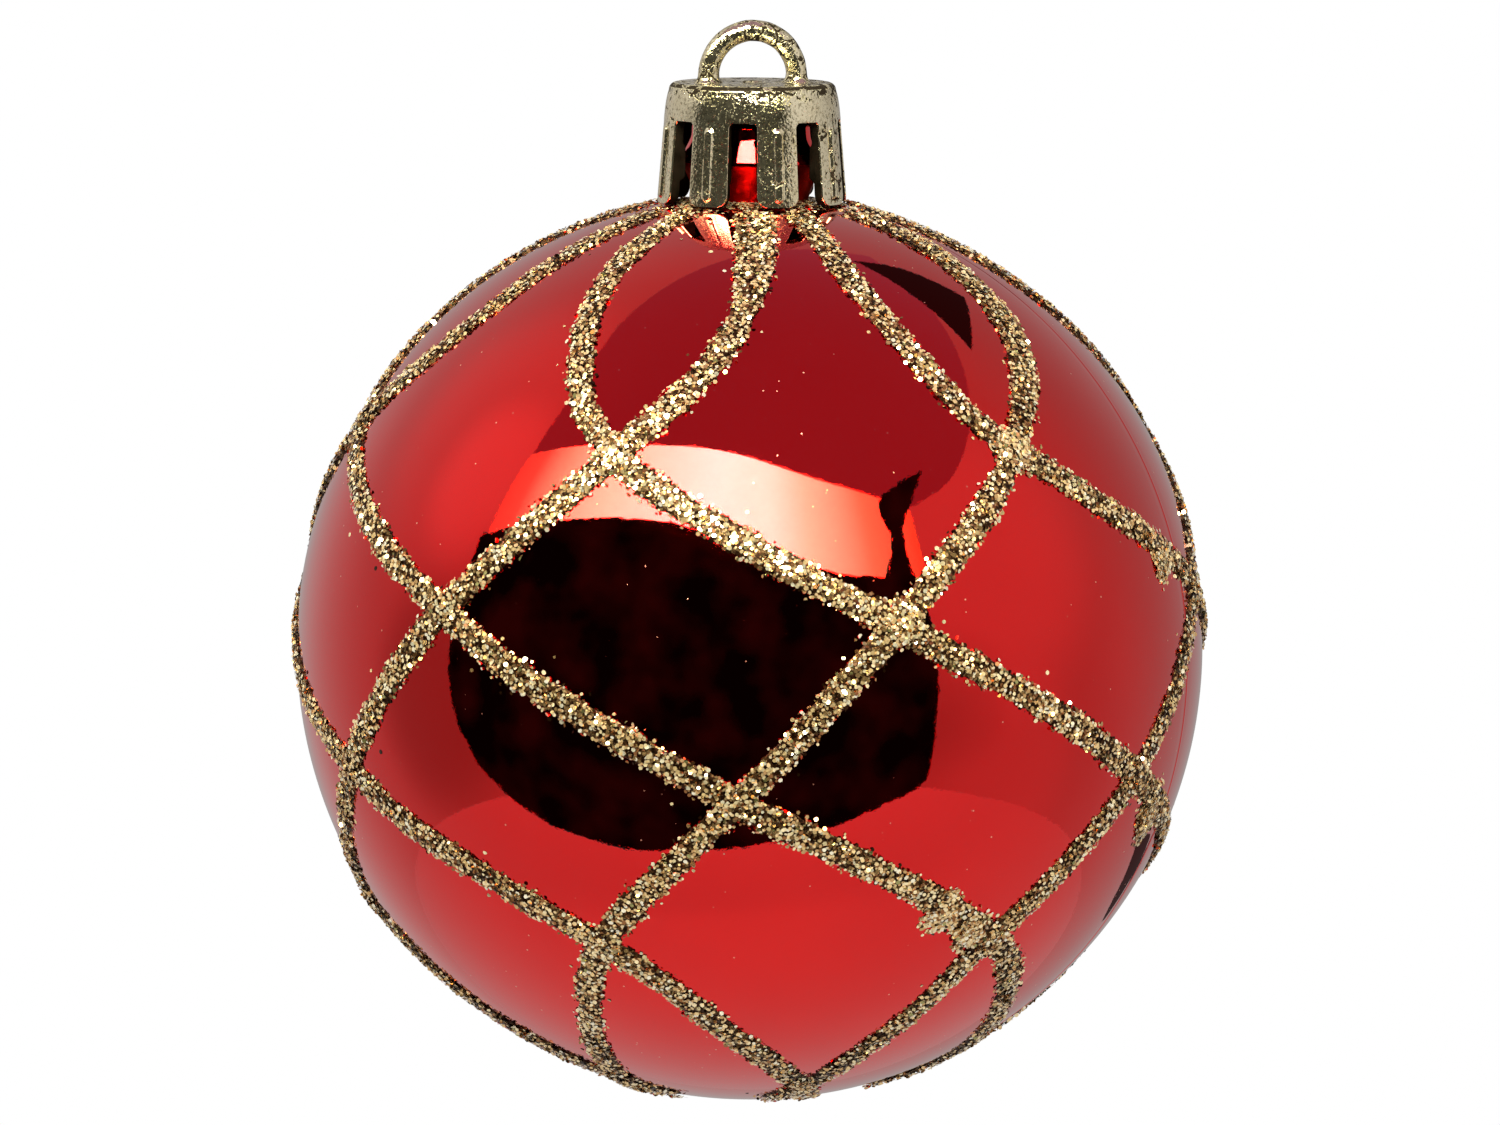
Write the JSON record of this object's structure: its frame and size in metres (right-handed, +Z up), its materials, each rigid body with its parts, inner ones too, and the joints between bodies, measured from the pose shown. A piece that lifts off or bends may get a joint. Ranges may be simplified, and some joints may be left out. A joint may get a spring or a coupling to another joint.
{
  "type": "ball ornament",
  "caption": "Hollow metallised ball ornament with a barbed neck, a crown cap with spring fingers and a hanging loop, and raised glitter lines crossing over it.",
  "frame": {"origin": "highest point of the loop's hole, where a hook or thread holds the ornament", "axes": "+Z up along the ball's and the cap's axis; the loop stands in the XZ plane and its hole runs along Y"},
  "size_m": [0.0608, 0.061, 0.0716],
  "materials": {
    "red_ball": "vacuum-metallised mirror red under clear lacquer",
    "gold_cap": "vacuum-metallised pale gold, worn along the edges",
    "gold_glitter": "fine gold flakes in clear glue"
  },
  "bodies": {
    "cap": {"cap_crown": "gold_cap"},
    "ball": {"ball_shell": "red_ball", "glitter_line_a1": "gold_glitter", "glitter_line_b1": "gold_glitter", "glitter_line_a2": "gold_glitter", "glitter_line_b2": "gold_glitter", "glitter_line_a3": "gold_glitter", "glitter_line_b3": "gold_glitter", "glitter_line_a4": "gold_glitter", "glitter_line_b4": "gold_glitter", "glitter_line_a5": "gold_glitter", "glitter_line_b5": "gold_glitter", "glitter_line_a6": "gold_glitter", "glitter_line_b6": "gold_glitter"},
    "finger_1": {"cap_finger_1": "gold_cap"},
    "finger_2": {"cap_finger_2": "gold_cap"},
    "finger_3": {"cap_finger_3": "gold_cap"},
    "finger_4": {"cap_finger_4": "gold_cap"},
    "finger_5": {"cap_finger_5": "gold_cap"},
    "finger_6": {"cap_finger_6": "gold_cap"},
    "finger_7": {"cap_finger_7": "gold_cap"},
    "finger_8": {"cap_finger_8": "gold_cap"}
  },
  "joints": [
    {"name": "ball_pull_off", "type": "slide", "parent": "cap", "child": "ball", "axis": [0, 0, -1], "range_m": [0, 0.025]},
    {"name": "finger_1_flex", "type": "hinge", "parent": "cap", "child": "finger_1", "pos_m": [0.00043, -0.00548, -0.00516], "axis": [-0.9969, -0.0785, 0], "range_deg": [0, 4.5], "stiffness_Nm_per_rad": 0.02},
    {"name": "finger_2_flex", "type": "hinge", "parent": "cap", "child": "finger_2", "pos_m": [0.00418, -0.00357, -0.00516], "axis": [-0.6494, -0.7604, 0], "range_deg": [0, 4.5], "stiffness_Nm_per_rad": 0.02},
    {"name": "finger_3_flex", "type": "hinge", "parent": "cap", "child": "finger_3", "pos_m": [0.00548, 0.00043, -0.00516], "axis": [0.0785, -0.9969, 0], "range_deg": [0, 4.5], "stiffness_Nm_per_rad": 0.02},
    {"name": "finger_4_flex", "type": "hinge", "parent": "cap", "child": "finger_4", "pos_m": [0.00357, 0.00418, -0.00516], "axis": [0.7604, -0.6494, 0], "range_deg": [0, 4.5], "stiffness_Nm_per_rad": 0.02},
    {"name": "finger_5_flex", "type": "hinge", "parent": "cap", "child": "finger_5", "pos_m": [-0.00043, 0.00548, -0.00516], "axis": [0.9969, 0.0785, 0], "range_deg": [0, 4.5], "stiffness_Nm_per_rad": 0.02},
    {"name": "finger_6_flex", "type": "hinge", "parent": "cap", "child": "finger_6", "pos_m": [-0.00418, 0.00357, -0.00516], "axis": [0.6494, 0.7604, 0], "range_deg": [0, 4.5], "stiffness_Nm_per_rad": 0.02},
    {"name": "finger_7_flex", "type": "hinge", "parent": "cap", "child": "finger_7", "pos_m": [-0.00548, -0.00043, -0.00516], "axis": [-0.0785, 0.9969, 0], "range_deg": [0, 4.5], "stiffness_Nm_per_rad": 0.02},
    {"name": "finger_8_flex", "type": "hinge", "parent": "cap", "child": "finger_8", "pos_m": [-0.00357, -0.00418, -0.00516], "axis": [-0.7604, 0.6494, 0], "range_deg": [0, 4.5], "stiffness_Nm_per_rad": 0.02}
  ],
  "couplings": [
    {"joint": "finger_2_flex", "follows": "finger_1_flex", "ratio": 1},
    {"joint": "finger_3_flex", "follows": "finger_1_flex", "ratio": 1},
    {"joint": "finger_4_flex", "follows": "finger_1_flex", "ratio": 1},
    {"joint": "finger_5_flex", "follows": "finger_1_flex", "ratio": 1},
    {"joint": "finger_6_flex", "follows": "finger_1_flex", "ratio": 1},
    {"joint": "finger_7_flex", "follows": "finger_1_flex", "ratio": 1},
    {"joint": "finger_8_flex", "follows": "finger_1_flex", "ratio": 1}
  ]
}
